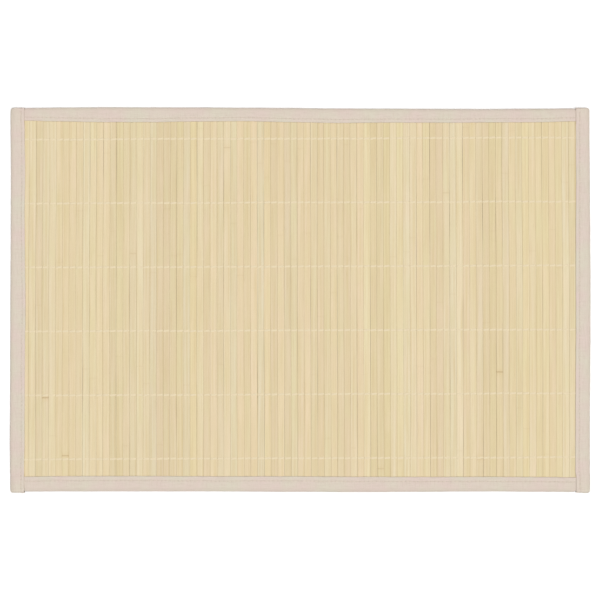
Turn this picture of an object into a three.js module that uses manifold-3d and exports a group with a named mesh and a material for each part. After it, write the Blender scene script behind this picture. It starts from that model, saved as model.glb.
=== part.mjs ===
// A bamboo placemat, lying flat. Split bamboo slats stand side by side across the mat, six rows of
// twined warp thread hold them together, and a folded cloth tape binds each of the four edges.
// Millimetres. +X runs along the long side, +Y along the slats towards the far edge, +Z is up.
// The origin is at the middle of the underside.

import * as THREE from 'three';
import Module from 'manifold-3d';
import { mergeVertices } from 'three/addons/utils/BufferGeometryUtils.js';

const wasm = await Module();
wasm.setup();

// The size of the bound mat
const MAT = { width: 450, depth: 298 };

// One slat. Its top is narrower than its underside by two bevels, and no two slats are quite alike.
// The row of slats is shifted a little to the right.
const SLAT = {
  count: 85,
  pitch: 5.167,
  shift: 0.45,
  width: 4.88,
  length: 293,
  thickness: 1.2,
  bevel: 0.24,
  widthSpread: 0.1,
  thicknessSpread: 0.06,
};

// A row of warp thread: two yarns twined round the slats, which stand proud of both of their faces
// up to a margin beside the side tapes. The rows are shifted a little towards the far edge.
const WARP = { rows: 6, pitch: 49.6, shift: 0.85, width: 0.8, proud: 0.2, margin: 1.5 };

// The binding tape, folded round an edge: two leaves, each doubled by its turned-in hem. Past the
// slats its leaves meet, which takes more of a side tape's width than of an end tape's. Its seam
// draws in a groove beside the inner edge.
const TAPE = {
  width: 11,
  leaf: 1,
  clearance: 0.3,
  endWall: 1,
  sideWall: 4.4,
  foldReach: 2,
  lipRadius: 0.6,
  grooveHalf: 0.5,
  grooveDepth: 0.28,
};

// How far the seam's groove lies in from each tape's inner edge
const SEAM_INSET = { front: 3.6, right: 3, back: 2.8, left: 2.6 };

// The tape's section, worked out from the sizes above
const SLOT = { low: TAPE.leaf, high: TAPE.leaf + SLAT.thickness + 2 * TAPE.clearance };
const TAPE_TOP = SLOT.high + TAPE.leaf;
const TAPE_MIDDLE = TAPE_TOP / 2;
const PANEL_LOW = SLOT.low + TAPE.clearance;
const PANEL_HIGH = PANEL_LOW + SLAT.thickness;

// How each tape runs along its edge, anticlockwise round the mat. at is the place along the edge,
// and out and in are how far the outer and the inner edge stray from the straight, outwards and
// inwards. The end tapes' first and last places are worked out, because they butt against the side
// tapes. A side tape reaches past them to the mat's rounded corners: rise is how far its top leaf
// is lifted there, and full is the share of its height left where its end is turned in.
const END_ROWS = {
  front: [
    { out: -0.1, in: 1 },
    { at: -180, out: -0.2, in: 1.4 },
    { at: -118, out: -0.2, in: 1.45 },
    { at: -64, out: -0.2, in: 1.2 },
    { at: -12, out: 0.1, in: 1.25 },
    { at: 52, out: 0.3, in: 0.9 },
    { at: 98, out: 0.1, in: 0.75 },
    { at: 125, out: -0.1, in: 0.9 },
    { at: 151, out: -0.2, in: 0.9 },
    { at: 178, out: 0.1, in: 0.75 },
    { out: 0.2, in: 0.4 },
  ],
  back: [
    { out: -0.2, in: -0.3 },
    { at: -178, out: -0.4, in: 0.4 },
    { at: -145, out: -0.7, in: 0.4 },
    { at: -112, out: -0.6, in: 0.7 },
    { at: -70, out: -0.4, in: 0.6 },
    { at: -30, out: -0.2, in: 0.9 },
    { at: 10, out: 0.1, in: 0.3 },
    { at: 40, out: 0.3, in: -0.5 },
    { at: 78, out: 0.5, in: -0.3 },
    { at: 118, out: 0.7, in: 0.3 },
    { at: 150, out: 0.7, in: 0.3 },
    { at: 184, out: 0.5, in: -0.3 },
    { out: 0.2, in: -1 },
  ],
};
const SIDE_ROWS = {
  left: [
    { at: -149, out: -2.4, in: 0.2, rise: 0.2, full: 0.7 },
    { at: -148.5, out: -1.2, in: 0.2, rise: 0.4, full: 0.9 },
    { at: -147.4, out: -0.3, in: 0.2, rise: 0.5, full: 1 },
    { at: -138.4, out: 0, in: 0.2, rise: 0.5, full: 1 },
    { at: -134, out: -0.1, in: 0.4, rise: 0, full: 1 },
    { at: -100, out: -0.4, in: 0.8, rise: 0, full: 1 },
    { at: -66, out: -0.3, in: 0.3, rise: 0, full: 1 },
    { at: -28, out: -0.1, in: 0.7, rise: 0, full: 1 },
    { at: 4, out: 0.1, in: 1.1, rise: 0, full: 1 },
    { at: 44, out: 0.2, in: 0.6, rise: 0, full: 1 },
    { at: 84, out: 0.3, in: 0.4, rise: 0, full: 1 },
    { at: 114, out: 0.5, in: 0.3, rise: 0, full: 1 },
    { at: 133, out: 0.3, in: 0, rise: 0, full: 1 },
    { at: 137.2, out: 0.2, in: 0, rise: 0.5, full: 1 },
    { at: 147.6, out: -0.4, in: 0, rise: 0.5, full: 1 },
    { at: 148.9, out: -1.1, in: 0, rise: 0.4, full: 0.9 },
    { at: 149.5, out: -2.2, in: 0, rise: 0.2, full: 0.7 },
  ],
  right: [
    { at: -149.5, out: -1.8, in: 0.1, rise: 0.2, full: 0.7 },
    { at: -148.9, out: -0.8, in: 0.1, rise: 0.4, full: 0.9 },
    { at: -147.6, out: 0, in: 0.1, rise: 0.5, full: 1 },
    { at: -137.2, out: 0, in: 0.1, rise: 0.5, full: 1 },
    { at: -133, out: -0.1, in: 0.7, rise: 0, full: 1 },
    { at: -97, out: -0.2, in: 0.6, rise: 0, full: 1 },
    { at: -60, out: 0.1, in: 0.5, rise: 0, full: 1 },
    { at: -22, out: 0.3, in: 0.3, rise: 0, full: 1 },
    { at: 15, out: 0.4, in: 0.35, rise: 0, full: 1 },
    { at: 52, out: 0.1, in: 0.35, rise: 0, full: 1 },
    { at: 84, out: -0.1, in: 0.2, rise: 0, full: 1 },
    { at: 110, out: -0.3, in: 0.3, rise: 0, full: 1 },
    { at: 134, out: -0.5, in: 0.35, rise: 0, full: 1 },
    { at: 138.4, out: -0.5, in: 0.3, rise: 0.5, full: 1 },
    { at: 147.3, out: -0.7, in: 0.3, rise: 0.5, full: 1 },
    { at: 148.4, out: -1.6, in: 0.3, rise: 0.4, full: 0.9 },
    { at: 148.9, out: -2.8, in: 0.3, rise: 0.2, full: 0.7 },
  ],
};

// Rows at each end of a side tape that the slot doesn't reach, because the tape's end is turned in
const CLOSED_ROWS = 2;

const FINISH = {
  bamboo: new THREE.MeshStandardMaterial({ color: 0xe3d1aa, roughness: 0.55, metalness: 0 }),
  tape: new THREE.MeshStandardMaterial({ color: 0xdcd0c1, roughness: 0.9, metalness: 0 }),
};

// A number from -1 to 1 that looks random and is the same each time for the same two numbers
function spread(index, kind) {
  const wave = Math.sin(index * 12.9898 + kind * 78.233) * 43758.5453;
  return 2 * (wave - Math.floor(wave)) - 1;
}

// A closed three.js geometry as a solid that can be joined and cut
function solidOf(geometry) {
  const bare = geometry.clone();
  bare.deleteAttribute('normal');
  bare.deleteAttribute('uv');
  const merged = mergeVertices(bare, 1e-4);
  return new wasm.Manifold(new wasm.Mesh({
    numProp: 3,
    vertProperties: new Float32Array(merged.attributes.position.array),
    triVerts: new Uint32Array(merged.index.array),
  }));
}

function meshOf(solid, name, material) {
  const { vertProperties, triVerts } = solid.getMesh();
  const geometry = new THREE.BufferGeometry();
  geometry.setAttribute('position', new THREE.BufferAttribute(vertProperties, 3));
  geometry.setIndex(new THREE.BufferAttribute(triVerts, 1));
  geometry.computeVertexNormals();
  const mesh = new THREE.Mesh(geometry, material);
  mesh.name = name;
  return mesh;
}

// One slat, a prism along Y. Its underside is level with the others', and its top is not quite.
function slat(index) {
  const half = (SLAT.width + spread(index, 1) * SLAT.widthSpread) / 2;
  const top = PANEL_HIGH + spread(index, 2) * SLAT.thicknessSpread;
  const section = new THREE.Shape();
  section.moveTo(-half, PANEL_LOW);
  section.lineTo(half, PANEL_LOW);
  section.lineTo(half - SLAT.bevel, top);
  section.lineTo(-half + SLAT.bevel, top);
  section.closePath();
  const prism = new THREE.ExtrudeGeometry(section, { depth: SLAT.length, bevelEnabled: false });
  prism.rotateX(Math.PI / 2);
  const middle = (index - (SLAT.count - 1) / 2) * SLAT.pitch + SLAT.shift;
  prism.translate(middle, SLAT.length / 2, 0);
  return solidOf(prism);
}

// One row of warp thread, seen along Y: a long bar through all the slats, which is taller where it
// shows between the side tapes
function warpRow(row) {
  const y = (row - (WARP.rows - 1) / 2) * WARP.pitch + WARP.shift;
  const end = (SLAT.count - 1) * SLAT.pitch / 2;
  const shown = MAT.width / 2 - TAPE.width - WARP.margin;
  const sunk = SLAT.thickness / 2 - WARP.proud;
  const proud = SLAT.thickness / 2 + WARP.proud;
  const outline = [
    [shown, -proud], [shown, -sunk], [end, -sunk], [end, sunk], [shown, sunk], [shown, proud],
    [-shown, proud], [-shown, sunk], [-end, sunk], [-end, -sunk], [-shown, -sunk], [-shown, -proud],
  ];
  const section = new THREE.Shape(outline.map(([x, z]) => new THREE.Vector2(x, z)));
  const bar = new THREE.ExtrudeGeometry(section, { depth: WARP.width, bevelEnabled: false });
  bar.rotateX(Math.PI / 2);
  bar.translate(0, y + WARP.width / 2, PANEL_LOW + SLAT.thickness / 2);
  return solidOf(bar);
}

// The slats and the warp thread that joins them, which is one woven piece
function slatPanel() {
  let panel = warpRow(0);
  for (let row = 1; row < WARP.rows; row += 1) {
    panel = panel.add(warpRow(row));
  }
  for (let index = 0; index < SLAT.count; index += 1) {
    panel = panel.add(slat(index));
  }
  return meshOf(panel, 'slat_panel', FINISH.bamboo);
}

// The tape's outline without its slot. x runs inwards from the outer edge, and y is the height.
function tapeOutline(seamInset) {
  const { width, foldReach, lipRadius, grooveHalf, grooveDepth } = TAPE;
  const groove = width - seamInset;
  const outline = new THREE.Shape();
  outline.moveTo(width - lipRadius / 2, 0);
  outline.lineTo(width, lipRadius / 2);
  outline.lineTo(width, SLOT.low);
  outline.lineTo(width, SLOT.high);
  outline.lineTo(width, TAPE_TOP - lipRadius);
  outline.quadraticCurveTo(width, TAPE_TOP, width - lipRadius, TAPE_TOP);
  outline.lineTo(groove + grooveHalf, TAPE_TOP);
  outline.lineTo(groove, TAPE_TOP - grooveDepth);
  outline.lineTo(groove - grooveHalf, TAPE_TOP);
  outline.lineTo(foldReach, TAPE_TOP);
  const [above, below] = [Math.PI / 2, Math.PI * 1.5];
  outline.absellipse(foldReach, TAPE_MIDDLE, foldReach, TAPE_MIDDLE, above, below, false, 0);
  outline.closePath();
  return outline;
}

// The slot that takes the slats' edge. It runs past the tape's inner edge.
function slotOutline(wall) {
  const past = TAPE.width + 3;
  const outline = new THREE.Shape();
  outline.moveTo(wall, SLOT.low);
  outline.lineTo(past, SLOT.low);
  outline.lineTo(past, SLOT.high);
  outline.lineTo(wall, SLOT.high);
  outline.closePath();
  return outline;
}

// An outline drawn along rows first to last of a run: each step of the extrusion is one row
function alongRun(outline, rows, first, last) {
  const steps = last - first;
  const options = { depth: steps, steps, curveSegments: 5, bevelEnabled: false };
  const run = new THREE.ExtrudeGeometry(outline, options);
  const position = run.attributes.position;
  for (let i = 0; i < position.count; i += 1) {
    const row = rows[first + Math.round(position.getZ(i))];
    const scale = (TAPE.width + row.in + row.out) / TAPE.width;
    const height = position.getY(i);
    const lift = height > SLOT.high ? row.rise * (height - SLOT.high) / TAPE.leaf : 0;
    const inwards = position.getX(i) * scale - row.out;
    const up = TAPE_MIDDLE + (height - TAPE_MIDDLE) * row.full + lift;
    position.setXYZ(i, row.at, inwards, up);
  }
  return solidOf(run);
}

// One tape along one edge, at a distance from the mat's middle. In its own frame it runs along +X
// with its outer edge on the X axis, and it is then turned to its side of the mat.
function tape(side, rows, wall, closedRows, quarterTurns, distance) {
  const last = rows.length - 1;
  const slot = alongRun(slotOutline(wall), rows, closedRows, last - closedRows);
  const whole = alongRun(tapeOutline(SEAM_INSET[side]), rows, 0, last);
  const mesh = meshOf(whole.subtract(slot), `tape_${side}`, FINISH.tape);
  mesh.geometry.translate(0, -distance, 0);
  mesh.rotation.z = quarterTurns * Math.PI / 2;
  return mesh;
}

function sideTape(side, rows, quarterTurns) {
  return tape(side, rows, TAPE.sideWall, CLOSED_ROWS, quarterTurns, MAT.width / 2);
}

function endTape(side, rows, quarterTurns) {
  return tape(side, rows, TAPE.endWall, 0, quarterTurns, MAT.depth / 2);
}

// A side tape's inner edge, at one of its ends, as a distance from the mat's middle
function innerEdge(row) {
  return MAT.width / 2 - TAPE.width - row.in;
}

// The rows of an end tape, which butts against a side tape at its start and at its end
function endRows(rows, start, end) {
  const last = rows.length - 1;
  return rows.map((row, i) => {
    const at = { 0: TAPE.clearance - start, [last]: end - TAPE.clearance }[i] ?? row.at;
    return { rise: 0, full: 1, ...row, at };
  });
}

const { left, right } = SIDE_ROWS;
const corner = {
  backLeft: innerEdge(left[0]),
  frontLeft: innerEdge(left.at(-1)),
  frontRight: innerEdge(right[0]),
  backRight: innerEdge(right.at(-1)),
};
const front = endRows(END_ROWS.front, corner.frontLeft, corner.frontRight);
const back = endRows(END_ROWS.back, corner.backRight, corner.backLeft);

const mat = new THREE.Group();
mat.add(
  slatPanel(),
  endTape('front', front, 0),
  sideTape('right', right, 1),
  endTape('back', back, 2),
  sideTape('left', left, 3),
);

// The edges stray unevenly, so the mat is shifted to bring its middle over the origin
mat.updateMatrixWorld(true);
const middle = new THREE.Box3().setFromObject(mat).getCenter(new THREE.Vector3());
mat.position.set(-middle.x, -middle.y, 0);

export default mat;
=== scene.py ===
# A bamboo placemat: split bamboo slats twined together with cotton yarn, and a cotton tape folded
# over each of the four edges and sewn through. Lengths are in metres. +X runs along the long side,
# +Y along the slats towards the far edge, and +Z is up.

import math
from bisect import bisect_right
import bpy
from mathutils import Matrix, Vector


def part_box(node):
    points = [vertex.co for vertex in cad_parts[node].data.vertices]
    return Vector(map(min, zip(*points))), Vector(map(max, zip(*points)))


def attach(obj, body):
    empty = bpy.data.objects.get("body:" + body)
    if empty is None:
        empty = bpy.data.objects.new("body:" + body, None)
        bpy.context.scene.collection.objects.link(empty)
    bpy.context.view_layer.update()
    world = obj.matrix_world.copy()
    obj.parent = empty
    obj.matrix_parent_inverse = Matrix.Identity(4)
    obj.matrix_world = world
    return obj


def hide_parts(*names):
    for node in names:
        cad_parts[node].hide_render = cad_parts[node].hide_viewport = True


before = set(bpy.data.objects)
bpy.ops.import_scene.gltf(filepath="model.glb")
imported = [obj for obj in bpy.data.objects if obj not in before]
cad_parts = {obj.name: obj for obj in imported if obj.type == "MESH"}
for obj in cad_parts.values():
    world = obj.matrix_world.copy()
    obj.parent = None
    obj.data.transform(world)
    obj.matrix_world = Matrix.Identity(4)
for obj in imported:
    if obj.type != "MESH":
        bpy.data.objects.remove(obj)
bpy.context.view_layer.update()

from types import SimpleNamespace

import bmesh
import bpy
from mathutils import Matrix, Vector, noise

MM = 0.001

# The slats. Each seam between two slats wanders a little and opens and closes along its length.
# solid_gap is the mean gap between two slats of the solid.
SLAT = SimpleNamespace(
    count=85,
    group=5,
    thickness=1.2 * MM,
    thickness_spread=0.06 * MM,
    bevel=0.13 * MM,
    crown=0.05 * MM,
    tilt=0.05 * MM,
    cuts=36,
    solid_gap=0.29 * MM,
    seam=0.03 * MM,
    open_seam=0.075 * MM,
    open_share=0.3,
    open_change=1.7,
    open_length=45 * MM,
    least_seam=0.02 * MM,
    wander=0.13 * MM,
    wander_length=95 * MM,
    set_aside=0.5,
    rise=0.03 * MM,
    rise_length=70 * MM,
)

# The slats don't stand quite evenly. How far their seams stray sideways, in millimetres, at five
# places across the mat: a row near its front edge, one at its middle and one near its back edge.
LEAN_X = (-202 * MM, -116 * MM, 0, 93 * MM, 186 * MM)
LEAN_Y = (-116 * MM, 0, 112 * MM)
LEAN = (
    (-1.96, -0.97, 0.33, -0.18, -0.84),
    (-1.81, -0.95, -0.1, -0.64, -0.95),
    (-1.03, -0.58, -0.33, -0.95, -1.81),
)

# The twined yarn: two yarns to a row, which turn half round each other between one slat and the
# next. Each bend is a place over a slat, from seam to seam, and a share of the yarn's full height.
YARN = SimpleNamespace(
    rows=6,
    pitch=49.6 * MM,
    shift=1.15 * MM,
    climb=0.004,
    half_width=0.98 * MM,
    half_height=0.3 * MM,
    proud=0.19 * MM,
    swing=0.2 * MM,
    sides=8,
    bends=((0.0, 0.0), (0.05, 0.8), (0.13, 0.95), (0.5, 1.0), (0.87, 0.95), (0.95, 0.8)),
    wander=0.35 * MM,
    wander_length=60 * MM,
    quiver_share=0.4,
    quiver_length=8 * MM,
    tuck=4 * MM,
    weld=0.01 * MM,
)

# The binding tape, cut nearly 40 mm wide, with both hems turned in. Each wave of its edges is a
# reach and a length.
TAPE = SimpleNamespace(
    width=11 * MM,
    ply=0.33 * MM,
    slack=0.03 * MM,
    off_table=0.02 * MM,
    hem=3.4 * MM,
    fold=2.0 * MM,
    # Painted shade on the tape's outer fold: full up to the first distance from its edge, gone by
    # the second
    fold_painted_shade=(1.5 * MM, 3.4 * MM),
    lip=0.44 * MM,
    lip_swell=1.1,
    crown=0.12 * MM,
    ripple=0.12 * MM,
    ripple_below=0.3,
    ripple_length=10 * MM,
    ripple_width=9 * MM,
    outer_waves=((0.1 * MM, 22 * MM), (0.05 * MM, 5 * MM)),
    inner_waves=((0.14 * MM, 17 * MM), (0.07 * MM, 4 * MM)),
    seed_step=13.7,
    least_step=0.3 * MM,
)

# Where a side tape crosses the end tapes it climbs over them, and its own ends are turned in
CROSSING = SimpleNamespace(
    ramp=4.2 * MM,
    rise=0.6 * MM,
    rise_across=(1.2 * MM, 4.6 * MM),
    squeeze=0.5,
    tighter=1.5,
    close=1.5 * MM,
    close_angles=range(0, 91, 15),
    closed=0.12,
    hem_back=1.5 * MM,
    hem_back_over=8 * MM,
    bulge_width=3 * MM,
)

# The hidden end of an end tape, pressed flatter inside the side tape
TUCK = SimpleNamespace(
    length=8 * MM,
    steps=8,
    ease=1.5 * MM,
    top_down=0.2 * MM,
    low_up=0.81 * MM,
    drawn_in=0.5 * MM,
    corner=3 * MM,
)

# The sewing along the tape's inner edge, through all its layers. It starts and ends at a margin
# from the ends of a side tape, and of the part of an end tape that shows. The cloth's mesh is cut
# across at shares of the way from one needle hole to the next. Lengthwise its cuts crowd towards
# the seam.
STITCH = SimpleNamespace(
    pitch=3.2 * MM,
    side_margin=2.1 * MM,
    end_margin=0.4 * MM,
    length=2.8 * MM,
    radius=0.21 * MM,
    tip=0.01,
    flatness=0.8,
    raised=0.5,
    lowest=0.7,
    dip=0.2 * MM,
    groove=0.08 * MM,
    pinch=0.1 * MM,
    pinch_below=0.8,
    reach=0.5 * MM,
    reaches=3,
    slant=0.07,
    slant_spread=0.06,
    laid_between=(0.25, 0.75),
    cuts=(0.0, 0.14, 0.5, 0.86),
    crowding=0.75 * MM,
)

panel_low, panel_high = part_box("slat_panel")
PANEL_MIDDLE_X = (panel_low.x + panel_high.x) / 2
PANEL_MIDDLE_Z = (panel_low.z + panel_high.z) / 2
SLAT_LOW = PANEL_MIDDLE_Z - SLAT.thickness / 2
SLAT_HIGH = PANEL_MIDDLE_Z + SLAT.thickness / 2
SLAT_PITCH = (panel_high.x - panel_low.x + SLAT.solid_gap) / SLAT.count
MAT_SHIFT_Y = (panel_low.y + panel_high.y) / 2

# How far apart in the noise two neighbours' drifts are taken
DRIFT_STEP = 7.31

# A seed for each thing that is uneven, so that no two of them vary alike
SEED = SimpleNamespace(
    seam_place=3,
    seam_kind=5,
    seam_opening=4.0,
    slat_thickness=7,
    slat_tilt=8,
    slat_rise=9.0,
    slat_shades=(11, 12, 13, 14),
    joint_place=15,
    yarn_wander=2.0,
    yarn_quiver=3.0,
    outer_edge=0.0,
    inner_edge=2.0,
)


def spread(*numbers):
    """A number from -1 to 1 that looks random and is the same each time for the same numbers."""
    return noise.cell(Vector([*numbers, 0, 0, 0][:3]) + Vector((0.5, 0.5, 0.5)))


def chance(*numbers):
    """The same, from 0 to 1."""
    return spread(*numbers) * 0.5 + 0.5


def drift(index, place, length, seed=0.0):
    """A number from about -1 to 1 that changes smoothly along a length, and differs by index."""
    return noise.noise(Vector((place / length, index * DRIFT_STEP, seed)))


def waver(index, place, waves, seed):
    """How far an edge strays at a place, from its long wave and its short one."""
    return sum(
        reach * drift(index, place, length, seed + number)
        for number, (reach, length) in enumerate(waves)
    )


def smooth(value, start, end):
    """0 before start and 1 after end, with an even turn between them."""
    share = min(max((value - start) / (end - start), 0.0), 1.0)
    return share * share * (3 - 2 * share)


def between(places, values, place):
    """The value at a place, eased from one of the given places to the next."""
    after = min(max(bisect_right(places, place), 1), len(places) - 1)
    share = smooth(place, places[after - 1], places[after])
    return values[after - 1] + (values[after] - values[after - 1]) * share


def add_piece(name, bm, material, smooth_faces=True):
    """Turns a finished bmesh into a piece that rides on the mat's body."""
    mesh = bpy.data.meshes.new(name)
    bm.to_mesh(mesh)
    bm.free()
    for polygon in mesh.polygons:
        polygon.use_smooth = smooth_faces
    mesh.materials.append(material)
    piece = bpy.data.objects.new(name, mesh)
    bpy.context.scene.collection.objects.link(piece)
    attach(piece, "root")
    return piece


# Materials


class Shading:
    """A material's node tree, with short calls to add nodes to it."""

    def __init__(self, name):
        self.material = bpy.data.materials.new(name)
        self.material.use_nodes = True
        self.tree = self.material.node_tree
        self.shader = self.tree.nodes["Principled BSDF"]

    def add(self, kind, inputs=None, **settings):
        """Adds a node. Each input is given a value or another node's output."""
        made = self.tree.nodes.new("ShaderNode" + kind)
        for setting, value in settings.items():
            setattr(made, setting, value)
        for key, value in (inputs or {}).items():
            self.put(made.inputs[key], value)
        return made.outputs

    def put(self, socket, value):
        """Gives a socket a value, or joins another node's output to it."""
        if isinstance(value, bpy.types.NodeSocket):
            self.tree.links.new(value, socket)
        else:
            socket.default_value = value

    def math(self, operation, *values):
        return self.add("Math", dict(enumerate(values)), operation=operation)[0]

    def vector(self, operation, *values):
        return self.add("VectorMath", dict(enumerate(values)), operation=operation)[0]

    def mix(self, share, first, second):
        """Mixes two colours, which are sockets 6 and 7 of the node."""
        made = self.tree.nodes.new("ShaderNodeMix")
        made.data_type = "RGBA"
        for socket, value in zip((0, 6, 7), (share, first, second)):
            self.put(made.inputs[socket], value)
        return made.outputs[2]

    def noise(self, place, scale, detail=2.0, roughness=0.5):
        """Noise from 0 to 1, with a scale for each axis."""
        scaled = self.vector("MULTIPLY", place, scale)
        inputs = {"Vector": scaled, "Scale": 1.0, "Detail": detail, "Roughness": roughness}
        return self.add("TexNoise", inputs)["Fac"]

    def remap(self, value, low, high, new_low=0.0, new_high=1.0):
        """Fits the range from low to high to the new one, and keeps the result within it."""
        inputs = {0: value, 1: low, 2: high, 3: new_low, 4: new_high}
        return self.add("MapRange", inputs, clamp=True)[0]

    def tint(self, base, value, low, high, share, over):
        """Lays a colour over the base: none of it where the value is low, the share where high."""
        return self.mix(self.remap(value, low, high, 0.0, share), base, over)

    def bump(self, height, distance, strength):
        inputs = {"Height": height, "Distance": distance, "Strength": strength}
        return self.add("Bump", inputs)["Normal"]


def colour(red, green, blue):
    """A colour given as it looks on a screen, from 0 to 255, as linear light."""
    share = [value / 255 for value in (red, green, blue)]
    light = [s / 12.92 if s <= 0.04045 else ((s + 0.055) / 1.055) ** 2.4 for s in share]
    return (*light, 1.0)


def bamboo_material():
    """Split bamboo. Each slat has its own shade, the streaks of its fibres and a faint joint."""
    s = Shading("bamboo")
    place = s.add("TexCoord")["Object"]
    tone = s.add("SeparateColor", {0: s.add("Attribute", attribute_name="tone")["Color"]})
    seed = s.add("Attribute", attribute_name="tone")["Alpha"]
    shift = {0: s.math("MULTIPLY", seed, 3.0), 1: s.math("MULTIPLY", seed, 17.0)}
    own = s.vector("ADD", place, s.add("CombineXYZ", shift)[0])
    bands = s.noise(own, (700.0, 9.0, 1.0), detail=3.0)
    fibres = s.noise(own, (2600.0, 30.0, 1.0), detail=3.0, roughness=0.6)
    flecks = s.noise(own, (5200.0, 160.0, 1.0), detail=1.0)
    clouds = s.noise(own, (60.0, 14.0, 1.0), detail=2.0)
    stains = s.noise(own, (90.0, 32.0, 1.0), detail=2.0)

    cream, straw, blush = colour(210, 200, 172), colour(207, 191, 148), colour(206, 186, 156)
    base = s.mix(s.remap(tone["Red"], 0.0, 1.0), cream, straw)
    base = s.tint(base, tone["Green"], 0.0, 1.0, 0.9, blush)
    base = s.tint(base, clouds, 0.35, 0.7, 0.4, straw)
    base = s.tint(base, stains, 0.5, 0.75, 0.45, colour(203, 194, 150))
    base = s.tint(base, stains, 0.5, 0.25, 0.45, colour(214, 193, 164))
    base = s.tint(base, bands, 0.4, 0.7, 0.7, colour(198, 179, 138))
    base = s.tint(base, fibres, 0.5, 0.8, 0.55, colour(187, 164, 120))
    base = s.tint(base, flecks, 0.68, 0.8, 0.4, colour(165, 138, 94))

    ragged_by, line_width, halo_width = 1.6 * MM, 0.7 * MM, 4 * MM
    joint = s.add("SeparateXYZ", {0: s.add("Attribute", attribute_name="joint")["Vector"]})
    along = s.add("SeparateXYZ", {0: place})[1]
    ragged = s.math("MULTIPLY_ADD", fibres, ragged_by, s.math("SUBTRACT", along, joint["X"]))
    beside = s.math("ABSOLUTE", s.math("SUBTRACT", ragged, ragged_by / 2))
    line = s.math("MULTIPLY", s.remap(beside, 0.0, line_width, 1.0, 0.0), joint["Y"])
    halo = s.math("MULTIPLY", s.remap(beside, 0.0, halo_width, 1.0, 0.0), joint["Y"])
    base = s.mix(s.math("MULTIPLY", halo, 0.35), base, colour(196, 170, 123))
    base = s.mix(s.math("MULTIPLY", line, 0.55), base, colour(143, 111, 70))
    value = s.remap(tone["Blue"], 0.0, 1.0, 0.955, 1.03)
    base = s.vector("MULTIPLY", base, s.add("CombineXYZ", {0: value, 1: value, 2: value})[0])

    s.put(s.shader.inputs["Base Color"], base)
    s.put(s.shader.inputs["Roughness"], s.remap(bands, 0.2, 0.8, 0.5, 0.66))
    s.shader.inputs["Specular IOR Level"].default_value = 0.35
    grain = s.math("ADD", fibres, s.math("MULTIPLY", flecks, 0.5))
    s.put(s.shader.inputs["Normal"], s.bump(grain, 0.06 * MM, 0.6))
    return s.material


def cloth_material():
    """Cotton tape in a fine plain weave. The weave follows the tape's own map, in metres: first
    along the tape, then across it."""
    weft_pitch, warp_pitch, bend = 0.48 * MM, 0.43 * MM, 0.3 * MM
    s = Shading("cotton_tape")
    flat = s.add("UVMap", uv_map="cloth")[0]
    place = s.add("TexCoord")["Object"]
    wobble = s.noise(place, (260.0, 260.0, 260.0), detail=1.0)
    bent = s.vector("ADD", flat, s.vector("MULTIPLY", wobble, (bend, bend, 0.0)))
    turn = s.vector("MULTIPLY", bent, (math.pi / weft_pitch, math.pi / warp_pitch, 0.0))
    part = s.add("SeparateXYZ", {0: turn})
    across, along = s.math("SINE", part[0]), s.math("SINE", part[1])
    over = s.math("MULTIPLY", across, along)
    weft = s.math("MULTIPLY", s.math("ABSOLUTE", across), s.math("MULTIPLY_ADD", over, 0.5, 0.5))
    warp = s.math("MULTIPLY", s.math("ABSOLUTE", along), s.math("MULTIPLY_ADD", over, -0.5, 0.5))
    weave = s.math("MAXIMUM", weft, warp)
    slubs = s.noise(flat, (90.0, 2100.0, 1.0), detail=2.0)
    slubs_across = s.noise(flat, (2300.0, 120.0, 1.0), detail=2.0)
    clouds = s.noise(place, (50.0, 50.0, 50.0), detail=3.0)
    fuzz = s.noise(place, (1500.0, 1500.0, 1500.0), detail=2.0)

    base = s.mix(s.remap(clouds, 0.35, 0.65), colour(208, 191, 182), colour(204, 197, 180))
    base = s.tint(base, slubs, 0.5, 0.75, 0.7, colour(193, 180, 165))
    base = s.tint(base, slubs_across, 0.5, 0.75, 0.6, colour(195, 180, 166))
    # Painted shade: the cloth is darker towards its outer fold, where it rounds away from the
    # light
    fold = s.add("Attribute", attribute_name="fold")["Fac"]
    base = s.mix(s.math("MULTIPLY", fold, 0.2), base, colour(180, 168, 153))
    # Painted shade between the threads, where the weave is low
    base = s.mix(s.remap(weave, 0.0, 0.45, 0.5, 0.0), base, colour(172, 157, 140))
    # Painted shade in the needle holes and along the sewn line, where the sewing draws the cloth
    # in
    pinch = s.add("Attribute", attribute_name="pinch")["Fac"]
    base = s.mix(s.math("MULTIPLY", pinch, 0.25), base, colour(150, 132, 113))

    s.put(s.shader.inputs["Base Color"], base)
    s.shader.inputs["Roughness"].default_value = 0.92
    s.shader.inputs["Specular IOR Level"].default_value = 0.2
    s.shader.inputs["Sheen Weight"].default_value = 0.12
    s.shader.inputs["Sheen Roughness"].default_value = 0.6
    relief = s.math("MULTIPLY_ADD", fuzz, 0.25, weave)
    s.put(s.shader.inputs["Normal"], s.bump(relief, 0.12 * MM, 0.7))
    return s.material


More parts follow.
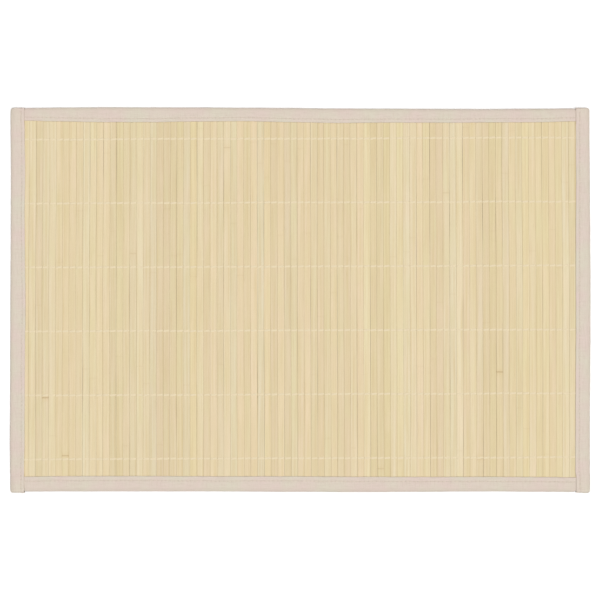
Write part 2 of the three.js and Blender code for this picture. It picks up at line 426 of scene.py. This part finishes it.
def thread_material(name, light, ply_length, shade, depth):
    """Cotton thread. Its plies show as slanting ridges, with painted shade in the hollows between
    them:
    shade is how bright those hollows are beside the light colour, and depth how much of that
    shows."""
    s = Shading(name)
    place = s.add("TexCoord")["Object"]
    part = s.add("SeparateXYZ", {0: place})
    slant = s.math("ADD", s.math("ADD", part[0], part[1]), part[2])
    plies = s.math("SINE", s.math("MULTIPLY", slant, 2 * math.pi / ply_length))
    fuzz = s.noise(place, (1800.0, 1800.0, 1800.0), detail=2.0)
    dark = (*(shade * value for value in light[:3]), 1.0)
    # Painted shade in the hollows between the plies
    base = s.mix(s.remap(plies, -1.0, 0.4, depth, 0.0), light, dark)
    base = s.tint(base, fuzz, 0.4, 0.75, 0.25, dark)
    s.put(s.shader.inputs["Base Color"], base)
    s.shader.inputs["Roughness"].default_value = 0.88
    s.shader.inputs["Specular IOR Level"].default_value = 0.2
    relief = s.math("MULTIPLY_ADD", fuzz, 0.4, plies)
    s.put(s.shader.inputs["Normal"], s.bump(relief, 0.03 * MM, 0.6))
    return s.material


def floor_material():
    s = Shading("floor")
    s.shader.inputs["Base Color"].default_value = (0.95, 0.95, 0.95, 1.0)
    s.shader.inputs["Roughness"].default_value = 0.9
    s.shader.inputs["Specular IOR Level"].default_value = 0.0
    return s.material


# The slats


def lean(x, y):
    """How far the slats stray sideways at a place on the mat."""
    return MM * between(LEAN_Y, [between(LEAN_X, row, x) for row in LEAN], y)


def seam_line(seam, y):
    """Where the seam before slat number seam runs at y, and how far it is open there."""
    middle = PANEL_MIDDLE_X + (seam - SLAT.count / 2) * SLAT_PITCH
    middle += lean(middle, y)
    aside = SLAT.set_aside * spread(seam, SEED.seam_place)
    middle += SLAT.wander * (drift(seam, y, SLAT.wander_length) + aside)
    usual = SLAT.open_seam if chance(seam, SEED.seam_kind) < SLAT.open_share else SLAT.seam
    change = SLAT.open_change * drift(seam, y, SLAT.open_length, SEED.seam_opening)
    return middle, max(usual * (1 + change), SLAT.least_seam)


def long_edges(bm, axis, shortest):
    """The edges that reach further than shortest along an axis: 0 for x and 1 for y."""
    return [e for e in bm.edges if abs(e.verts[0].co[axis] - e.verts[1].co[axis]) > shortest]


def slat_blank():
    """A straight slat as wide as the pitch, with eased edges, cut across so that it can bend."""
    bm = bmesh.new()
    length = panel_high.y - panel_low.y
    size = Matrix.Diagonal((SLAT_PITCH, length, SLAT.thickness, 1.0))
    bmesh.ops.create_cube(bm, size=1.0, matrix=size)
    corners = long_edges(bm, 1, length / 2)
    bmesh.ops.bevel(
        bm, geom=corners, offset=SLAT.bevel, affect="EDGES", segments=3, profile=0.5, material=-1
    )
    lengthwise = long_edges(bm, 1, length / 2)
    bmesh.ops.subdivide_edges(bm, edges=lengthwise, cuts=SLAT.cuts, use_grid_fill=True)
    flats = long_edges(bm, 0, SLAT_PITCH / 2)
    bmesh.ops.subdivide_edges(bm, edges=flats, cuts=3, use_grid_fill=True)
    mesh = bpy.data.meshes.new("slat_blank")
    bm.to_mesh(mesh)
    bm.free()
    return mesh


# Joints of the bamboo. Those that show: which slat, how far along it in metres and how dark. The
# other slats have a faint one somewhere.
FAINT_JOINT = SimpleNamespace(farthest=0.14, strength=0.12)
SHOWN_JOINTS = {
    4: (-0.076, 0.9),
    7: (-0.121, 0.8),
    69: (-0.123, 0.8),
    72: (-0.056, 0.9),
    31: (0.118, 0.4),
    54: (-0.131, 0.4),
    17: (0.036, 0.3),
    64: (0.083, 0.3),
}


def shape_slat(index, verts):
    """Bends a blank slat between its two seams, and gives it its own thickness, crown and tilt."""
    thicker = spread(index, SEED.slat_thickness) * SLAT.thickness_spread
    tilt = spread(index, SEED.slat_tilt) * SLAT.tilt
    for vert in verts:
        y = vert.co.y + MAT_SHIFT_Y
        left, left_open = seam_line(index, y)
        right, right_open = seam_line(index + 1, y)
        from_middle = vert.co.x / (SLAT_PITCH / 2)
        if vert.co.x < 0:
            x = left + left_open / 2 + (vert.co.x + SLAT_PITCH / 2)
        else:
            x = right - right_open / 2 - (SLAT_PITCH / 2 - vert.co.x)
        top = 0.5 + vert.co.z / SLAT.thickness
        z = PANEL_MIDDLE_Z + vert.co.z
        z += top * (thicker + SLAT.crown * (1 - from_middle**2) + tilt * from_middle)
        z += SLAT.rise * drift(index, y, SLAT.rise_length, SEED.slat_rise)
        vert.co = (x, y, z)


def make_slats(material):
    """All the slats, in pieces of a few neighbours."""
    blank = slat_blank()
    for first in range(0, SLAT.count, SLAT.group):
        bm = bmesh.new()
        tone = bm.verts.layers.float_color.new("tone")
        joint = bm.verts.layers.float_vector.new("joint")
        for index in range(first, min(first + SLAT.group, SLAT.count)):
            before = len(bm.verts)
            bm.from_mesh(blank)
            bm.verts.ensure_lookup_table()
            verts = bm.verts[before:]
            shape_slat(index, verts)
            shade = [chance(index, seed) for seed in SEED.slat_shades]
            somewhere = spread(index, SEED.joint_place) * FAINT_JOINT.farthest
            at, strength = SHOWN_JOINTS.get(index, (somewhere, FAINT_JOINT.strength))
            for vert in verts:
                vert[tone] = shade
                vert[joint] = (at, strength, 0.0)
        piece = add_piece(f"slats_{first // SLAT.group + 1:02d}", bm, material, False)
        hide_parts("slat_panel")
    bpy.data.meshes.remove(blank)


# The twined yarn


def yarn_path(side):
    """How a yarn runs over one slat and under the next, or the other way round. It dips at the
    seams, where it passes the other yarn, and lies a little slanted between them."""
    reach = SLAT.thickness / 2 + YARN.proud - YARN.half_height
    path = []
    for slat, over in ((0, side), (1, -side)):
        for share, height in YARN.bends:
            sideways = -side * YARN.swing * math.cos(math.pi * (slat + share))
            path.append(Vector(((slat + share) * SLAT_PITCH, sideways, over * height * reach)))
    return [*path, Vector((2 * SLAT_PITCH, path[0].y, 0.0))]


def twined_repeat():
    """Both yarns of a row over two slats, which is a whole turn, as open tubes."""
    bm = bmesh.new()
    size = Matrix.Diagonal((1.0, YARN.half_width, YARN.half_height, 1.0))
    upright = size @ Matrix.Rotation(math.pi / 2, 4, "Y")
    for side in (1, -1):
        place, *others = yarn_path(side)
        ring = bmesh.ops.create_circle(bm, segments=YARN.sides, radius=1.0, matrix=upright)
        verts = ring["verts"]
        edges = list(dict.fromkeys(edge for vert in verts for edge in vert.link_edges))
        bmesh.ops.translate(bm, verts=verts, vec=place)
        for after in others:
            made = bmesh.ops.extrude_edge_only(bm, edges=edges)["geom"]
            verts = [item for item in made if isinstance(item, bmesh.types.BMVert)]
            moved = set(verts)
            edges = [
                item
                for item in made
                if isinstance(item, bmesh.types.BMEdge) and moved.issuperset(item.verts)
            ]
            bmesh.ops.translate(bm, verts=verts, vec=after - place)
            place = after
    return bm


def make_yarns(material, left, right):
    """The rows of twined yarn, from under the left tape to under the right one."""
    repeat = twined_repeat()
    mesh = bpy.data.meshes.new("twined_repeat")
    repeat.to_mesh(mesh)
    repeat.free()
    first_seam = PANEL_MIDDLE_X - SLAT.count / 2 * SLAT_PITCH
    repeats = (SLAT.count + 1) // 2
    bm = bmesh.new()
    for row in range(YARN.rows):
        y = (row - (YARN.rows - 1) / 2) * YARN.pitch + YARN.shift + MAT_SHIFT_Y
        before = len(bm.verts)
        for number in range(repeats):
            start = len(bm.verts)
            bm.from_mesh(mesh)
            bm.verts.ensure_lookup_table()
            shift = Vector((first_seam + 2 * number * SLAT_PITCH, y, PANEL_MIDDLE_Z))
            bmesh.ops.translate(bm, verts=bm.verts[start:], vec=shift)
        for vert in bm.verts[before:]:
            vert.co.x += lean(vert.co.x, y)
            vert.co.y += YARN.climb * vert.co.x
            wander = drift(row, vert.co.x, YARN.wander_length, SEED.yarn_wander)
            quiver = drift(row, vert.co.x, YARN.quiver_length, SEED.yarn_quiver)
            vert.co.y += YARN.wander * wander
            vert.co.y += YARN.quiver_share * YARN.wander * quiver
    bpy.data.meshes.remove(mesh)
    bmesh.ops.remove_doubles(bm, verts=bm.verts, dist=YARN.weld)
    for limit, side in ((left - YARN.tuck, -1.0), (right + YARN.tuck, 1.0)):
        whole = bm.verts[:] + bm.edges[:] + bm.faces[:]
        bmesh.ops.bisect_plane(
            bm, geom=whole, plane_co=(limit, 0, 0), plane_no=(side, 0, 0), clear_outer=True
        )
    open_edges = [edge for edge in bm.edges if edge.is_boundary]
    bmesh.ops.holes_fill(bm, edges=open_edges, sides=YARN.sides + 2)
    bmesh.ops.recalc_face_normals(bm, faces=bm.faces)
    piece = add_piece("warp_yarns", bm, material)
    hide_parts("slat_panel")


# The binding tape. A tape has its own frame: s runs along its edge, anticlockwise round the mat,
# and inwards is the way from its outer edge to the mat's middle.


def read_tape(side, quarter_turns, seam_inset, drawn_in=0.0, corners=(), bulges=()):
    """A tape's frame, and its outer and inner edge at each place where the solid gives them. Its
    seam lies inset from the inner edge, and its outer edge is drawn in from the solid's. A side
    tape has a rounded corner at each end, and a bulge there: how far it reaches and where. All of
    these are in millimetres."""
    turn = Matrix.Rotation(quarter_turns * math.pi / 2, 3, "Z")
    tape = SimpleNamespace(
        name=f"binding_{side}",
        node=f"tape_{side}",
        is_side=bool(corners),
        along=turn @ Vector((1, 0, 0)),
        inwards=turn @ Vector((0, 1, 0)),
        seed=float(quarter_turns),
        seam_inset=seam_inset * MM,
        drawn_in=drawn_in * MM,
        corners=[radius * MM for radius in corners],
        bulges=[(reach * MM, x * MM) for reach, x in bulges],
    )
    rows = {}
    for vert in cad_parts[tape.node].data.vertices:
        row = rows.setdefault(round(vert.co.dot(tape.along), 5), [])
        row.append(vert.co.dot(tape.inwards))
    places = sorted(rows)
    tape.start, tape.end = places[0], places[-1]
    margin = max(tape.corners, default=0.0)
    kept = [s for s in places if tape.start + margin <= s <= tape.end - margin]
    tape.places = kept
    tape.outer = [min(rows[s]) for s in kept]
    tape.inner = [max(rows[s]) for s in kept]
    tape.section = section_points(tape.seam_inset)
    return tape


def edges_at(tape, s):
    """The tape's outer and inner edge at s."""
    return between(tape.places, tape.outer, s), between(tape.places, tape.inner, s)


# The heights of the middle of the cloth, in its hems and its leaves above and below the slats
HEM_TOP = SLAT_HIGH + TAPE.slack + TAPE.ply / 2
LEAF_TOP = HEM_TOP + TAPE.ply + TAPE.slack
LEAF_LOW = TAPE.ply / 2 + TAPE.off_table
HEM_LOW = SLAT_LOW - TAPE.slack - TAPE.ply / 2
FOLD_MIDDLE = (LEAF_TOP + LEAF_LOW) / 2


def section_points(seam_inset):
    """The tape's section, from the hem inside the top leaf, round the fold, to the hem inside the
    bottom leaf: each point's distance from the outer edge, its height and which part it is in."""
    lip_x = TAPE.width - TAPE.lip
    points = []

    def run(part, first_x, last_x, height, steps, crowded=False):
        """Adds a level part, whose steps crowd towards the seam where it is sewn."""
        for step in range(steps + 1):
            share = step / steps
            x = first_x + (last_x - first_x) * share
            if crowded:
                seam_x = TAPE.width - seam_inset
                pull = STITCH.crowding * math.sin(math.pi * share)
                x += (seam_x - x) * pull / (abs(seam_x - x) + pull)
            points.append((part, x, height))

    def bend(part, x, height, reach, rise, first, last, steps):
        """Adds a bend round a point, from the first angle to the last, without its two ends."""
        for step in range(1, steps):
            angle = math.radians(first + (last - first) * step / steps)
            points.append((part, x + reach * math.cos(angle), height + rise * math.sin(angle)))

    run("top_hem", TAPE.hem, lip_x, HEM_TOP, steps=4)
    rise = (LEAF_TOP - HEM_TOP) / 2
    bend("lip", lip_x, HEM_TOP + rise, rise * TAPE.lip_swell, rise, -90, 90, steps=6)
    run("top", lip_x, TAPE.fold, LEAF_TOP, steps=20, crowded=True)
    rise = (LEAF_TOP - LEAF_LOW) / 2
    bend("fold", TAPE.fold, FOLD_MIDDLE, TAPE.fold - TAPE.ply / 2, rise, 90, 270, steps=10)
    run("bottom", TAPE.fold, lip_x, LEAF_LOW, steps=14, crowded=True)
    rise = (HEM_LOW - LEAF_LOW) / 2
    bend("low_lip", lip_x, LEAF_LOW + rise, rise * TAPE.lip_swell, rise, -90, 90, steps=6)
    run("low_hem", lip_x, TAPE.hem, HEM_LOW, steps=4)
    return points


def stitch_places(tape):
    """Where the needle went through along the tape, evenly spaced and clear of its ends."""
    start, end = tape.sewn
    count = int((end - start) / STITCH.pitch)
    first = (start + end - count * STITCH.pitch) / 2
    return [first + number * STITCH.pitch for number in range(count + 1)]


def tape_stations(tape):
    """The places along a tape where its mesh is cut across: at and beside each needle hole, and
    closer together towards its ends."""
    sewn = [hole + share * STITCH.pitch for hole in tape.holes for share in STITCH.cuts]
    if tape.is_side:
        angles = [math.radians(angle) for angle in CROSSING.close_angles]
        ends = [CROSSING.close * (1 - math.cos(angle)) for angle in angles]
    else:
        ends = [TUCK.length * step / TUCK.steps for step in range(TUCK.steps + 1)]
    clear = ends[-1] + TAPE.least_step
    inner = [s for s in sewn if tape.start + clear < s < tape.end - clear]
    return [tape.start + end for end in ends] + inner + [tape.end - end for end in reversed(ends)]


def pinch_at(tape, s, x, inner_x):
    """How much the sewing draws the cloth in, and how near a needle hole the place is, where
    painted shade darkens the cloth.
    """
    beside = (x - (inner_x - tape.seam_inset)) / STITCH.reach
    first, last = tape.sewn
    if abs(beside) > STITCH.reaches or not first - STITCH.pitch < s < last + STITCH.pitch:
        return 0.0, 0.0
    phase = (s - tape.holes[0]) / STITCH.pitch
    from_hole = abs(phase - round(phase)) * STITCH.pitch / STITCH.reach
    line, hole = math.exp(-beside * beside), math.exp(-from_hole * from_hole)
    return line * (STITCH.groove + STITCH.pinch * hole), line * hole


def hem_share(part, height):
    """1 on a hem, 0 on a leaf, and between the two round a lip."""
    if part in ("top_hem", "lip"):
        return (LEAF_TOP - height) / (LEAF_TOP - HEM_TOP)
    if part in ("low_hem", "low_lip"):
        return (height - LEAF_LOW) / (HEM_LOW - LEAF_LOW)
    return 0.0


def round_off(radius, from_end):
    """How far a rounded corner has drawn an edge in, so far from the end."""
    short = max(radius - max(from_end, 0.0), 0.0)
    return radius - math.sqrt(radius * radius - short * short)


def cross_over(lift, from_end, part, x, z):
    """Height on a side tape, which climbs over the end tape and closes at its own end."""
    if part in ("top_hem", "lip", "top"):
        z += CROSSING.rise * lift * smooth(x, *CROSSING.rise_across)
    elif part in ("low_hem", "low_lip"):
        z = LEAF_LOW + (z - LEAF_LOW) * (1 - CROSSING.squeeze * lift)
    if from_end < CROSSING.close:
        short = (CROSSING.close - max(from_end, 0.0)) / CROSSING.close
        still_open = CROSSING.closed + (1 - CROSSING.closed) * math.sqrt(1 - short * short)
        z = FOLD_MIDDLE + (z - FOLD_MIDDLE) * still_open
    return z


def tuck_in(tucked, part, height, z):
    """Height on an end tape, which is pressed flatter inside the side tape."""
    if part in ("top", "lip"):
        return z - TUCK.top_down * tucked
    if part == "fold":
        share = (height - LEAF_LOW) / (LEAF_TOP - LEAF_LOW)
        return z + (TUCK.low_up * (1 - share) - TUCK.top_down * share) * tucked
    if part != "top_hem":
        return z + (LEAF_LOW + TUCK.low_up - z) * tucked
    return z


def place_on_tape(tape, s, part, x, height):
    """The point of the sewn tape at s, at a given point of its section, and its needle pinch.
    which is the nearer end, inset how far the point is drawn back from that end, and lift how far
    it has climbed over the end tape."""
    outer, inner = edges_at(tape, s)
    outer += tape.drawn_in
    seed = tape.seed * TAPE.seed_step
    outer += waver(seed, s, TAPE.outer_waves, SEED.outer_edge)
    inner += waver(seed, s, TAPE.inner_waves, SEED.inner_edge)
    which = int(s > 0)
    from_end = tape.end - s if which else s - tape.start
    inset = lift = pinch = 0.0
    if tape.is_side:
        outer += round_off(tape.corners[which], from_end)
        share = max(1 - from_end / CROSSING.hem_back_over, 0.0)
        inset = CROSSING.hem_back * hem_share(part, height) * share
        bulge, bulge_x = tape.bulges[which]
        inset -= bulge * share * math.exp(-(((x - bulge_x) / CROSSING.bulge_width) ** 2))
        crossing = tape.crossings[which]
        lift = 1 - smooth(from_end, crossing, crossing + CROSSING.ramp)
    else:
        tucked = 1 - smooth(from_end, TUCK.length, TUCK.length + TUCK.ease)
        outer += TUCK.drawn_in * tucked + round_off(TUCK.corner, from_end)
    width = inner - outer
    far = x * width / TAPE.width
    z = height
    if part in ("top", "bottom"):
        crown = math.sin(math.pi * min(max((x - TAPE.fold) / (TAPE.width - TAPE.fold), 0), 1))
        ripple = noise.noise(Vector((s / TAPE.ripple_length, x / TAPE.ripple_width, seed)))
        drawn, pinch = pinch_at(tape, s, far, width)
        if part == "top":
            z += TAPE.crown * crown
            z += TAPE.ripple * ripple * crown
            z -= drawn * (1 + CROSSING.tighter * lift)
        else:
            z += TAPE.ripple * ripple * crown * TAPE.ripple_below
            z += drawn * STITCH.pinch_below
    if tape.is_side:
        z = cross_over(lift, from_end + inset, part, x, z)
    else:
        z = tuck_in(tucked, part, height, z)
    point = tape.along * (s - inset if which else s + inset) + tape.inwards * (outer + far)
    point.z = z
    return point, pinch


def make_tape(tape, material):
    """Cloth cut flat as a grid, then folded over the mat's edge. Its map keeps the flat shape."""
    stations = tape_stations(tape)
    rows = len(tape.section) - 1
    bm = bmesh.new()
    bmesh.ops.create_grid(bm, x_segments=len(stations) - 1, y_segments=rows, size=1.0)
    cloth = bm.loops.layers.uv.new("cloth")
    # Masks for painted shade: round the needle holes, and towards the outer fold
    hole_shade_layer = bm.verts.layers.float.new("pinch")
    fold_shade_layer = bm.verts.layers.float.new("fold")
    reach = [0.0]
    for (_, x0, z0), (_, x1, z1) in zip(tape.section, tape.section[1:]):
        reach.append(reach[-1] + math.hypot(x1 - x0, z1 - z0))
    ridge = [place_on_tape(tape, s, "top", TAPE.width / 2, LEAF_TOP)[0] for s in stations]
    length = [0.0]
    for before, after in zip(ridge, ridge[1:]):
        length.append(length[-1] + (after - before).length)
    flat = {}
    for vert in bm.verts:
        column = round((vert.co.x + 1) / 2 * (len(stations) - 1))
        row = round((vert.co.y + 1) / 2 * rows)
        flat[vert] = (length[column], reach[row])
        part, x, height = tape.section[row]
        # Painted shade towards the outer fold, where the cloth rounds away from the light
        vert[fold_shade_layer] = 1 - smooth(x, *TAPE.fold_painted_shade)
        vert.co, vert[hole_shade_layer] = place_on_tape(tape, stations[column], part, x, height)
    for face in bm.faces:
        for loop in face.loops:
            loop[cloth].uv = flat[loop.vert]
    piece = add_piece(tape.name, bm, material)
    thickness = piece.modifiers.new("thickness", "SOLIDIFY")
    thickness.thickness = TAPE.ply
    thickness.offset = 0.0
    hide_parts(tape.node)


def stitch_blank():
    """A short thread with blunt ends that dip into their needle holes."""
    bm = bmesh.new()
    upright = Matrix.Rotation(math.pi / 2, 4, "Y")
    bmesh.ops.create_uvsphere(bm, u_segments=6, v_segments=7, radius=1.0, matrix=upright)
    for vert in bm.verts:
        x, y, z = vert.co
        blunt = max(math.hypot(y, z), STITCH.tip) ** -0.5
        z = STITCH.flatness * blunt * z * STITCH.radius - STITCH.dip * x**4
        vert.co = (x * STITCH.length / 2, blunt * y * STITCH.radius, z)
    mesh = bpy.data.meshes.new("stitch_blank")
    bm.to_mesh(mesh)
    bm.free()
    return mesh


def make_stitches(tapes, material):
    """Each stitch is a short thread between two needle holes, above and below the mat."""
    blank = stitch_blank()
    bm = bmesh.new()
    for tape in tapes:
        for number, (s, after) in enumerate(zip(tape.holes, tape.holes[1:])):
            outer, inner = edges_at(tape, (s + after) / 2)
            x = TAPE.width * (1 - tape.seam_inset / (inner - outer - tape.drawn_in))
            for part, height, side in (("top", LEAF_TOP, 1.0), ("bottom", LEAF_LOW, -1.0)):
                first, last = (
                    place_on_tape(tape, s + share * (after - s), part, x, height)[0]
                    for share in STITCH.laid_between
                )
                middle = (first + last) / 2
                middle.z += side * (TAPE.ply / 2 + STITCH.raised * STITCH.radius)
                middle.z = max(middle.z, STITCH.radius * STITCH.lowest)
                heading = (last - first).to_track_quat("X", "Z").to_matrix().to_4x4()
                slant = STITCH.slant + STITCH.slant_spread * spread(number, tape.seed, side)
                turn = heading @ Matrix.Rotation(slant, 4, "Z")
                before = len(bm.verts)
                bm.from_mesh(blank)
                bm.verts.ensure_lookup_table()
                for vert in bm.verts[before:]:
                    vert.co.z *= side
                    vert.co = middle + turn @ vert.co
    bpy.data.meshes.remove(blank)
    add_piece("stitches", bm, material)


# The mat

bamboo = bamboo_material()
cloth = cloth_material()
yarn_cotton = thread_material(
    "yarn_cotton", colour(213, 198, 167), ply_length=0.9 * MM, shade=0.93, depth=0.3
)
sewing_cotton = thread_material(
    "sewing_cotton", colour(211, 198, 182), ply_length=0.5 * MM, shade=0.88, depth=0.4
)

tapes = [
    read_tape("front", 0, seam_inset=3.6, drawn_in=0.15),
    read_tape("right", 1, seam_inset=3.0, corners=(1.9, 2.0), bulges=((0.35, 3), (0, 0))),
    read_tape("back", 2, seam_inset=2.8, drawn_in=0.3),
    read_tape(
        "left", 3, seam_inset=2.6, drawn_in=0.15, corners=(2.5, 1.5), bulges=((0, 0), (0.4, 10))
    ),
]
for number, tape in enumerate(tapes):
    if tape.is_side:
        before, after = tapes[number - 1], tapes[(number + 1) % 4]
        tape.crossings = [before.inner[-1] - tape.start, after.inner[0] + tape.end]
        tape.sewn = (tape.start + STITCH.side_margin, tape.end - STITCH.side_margin)
    else:
        tape.sewn = (tape.start + STITCH.end_margin, tape.end - STITCH.end_margin)
        tape.start -= TUCK.length
        tape.end += TUCK.length
    tape.holes = stitch_places(tape)

make_slats(bamboo)
_, right_tape, _, left_tape = tapes
make_yarns(yarn_cotton, min(left_tape.inner), -min(right_tape.inner))
for tape in tapes:
    make_tape(tape, cloth)
make_stitches(tapes, sewing_cotton)


# The floor, the lights and the camera


def make_floor():
    """A white floor, just below the mat so that the two never meet."""
    bm = bmesh.new()
    bmesh.ops.create_grid(bm, x_segments=1, y_segments=1, size=3.0)
    mesh = bpy.data.meshes.new("floor")
    bm.to_mesh(mesh)
    bm.free()
    mesh.materials.append(floor_material())
    floor = bpy.data.objects.new("floor", mesh)
    floor.location.z = -0.05 * MM
    bpy.context.scene.collection.objects.link(floor)


def add_light(name, place, size, power):
    """A square lamp that points at the mat's middle."""
    light = bpy.data.lights.new(name, "AREA")
    light.shape = "SQUARE"
    light.size = size
    light.energy = power
    lamp = bpy.data.objects.new(name, light)
    lamp.location = place
    lamp.rotation_euler = (-Vector(place)).to_track_quat("-Z", "Y").to_euler()
    bpy.context.scene.collection.objects.link(lamp)


def add_camera():
    """Straight above, through a long lens, a little off the mat's middle. The sensor and the lens
    are in millimetres."""
    sensor, lens, width_seen = 36.0, 100.0, 465.45 * MM
    aside_x, aside_y = -0.125 * MM, -0.21 * MM
    data = bpy.data.cameras.new("camera")
    data.sensor_width = sensor
    data.lens = lens
    camera = bpy.data.objects.new("camera", data)
    camera.location = (aside_x, aside_y, SLAT_HIGH + width_seen * lens / sensor)
    bpy.context.scene.collection.objects.link(camera)
    bpy.context.scene.camera = camera


make_floor()
add_light("key", (2.2, -2.7, 5.6), size=2.5, power=240)
add_light("fill", (-0.6, 1.0, 3.4), size=3.85, power=98)
world = bpy.data.worlds.new("studio")
bpy.context.scene.world = world
world.use_nodes = True
background = world.node_tree.nodes["Background"]
background.inputs["Color"].default_value = (1.0, 1.0, 1.0, 1.0)
background.inputs["Strength"].default_value = 0.295
bpy.context.scene.view_settings.view_transform = "Standard"
add_camera()
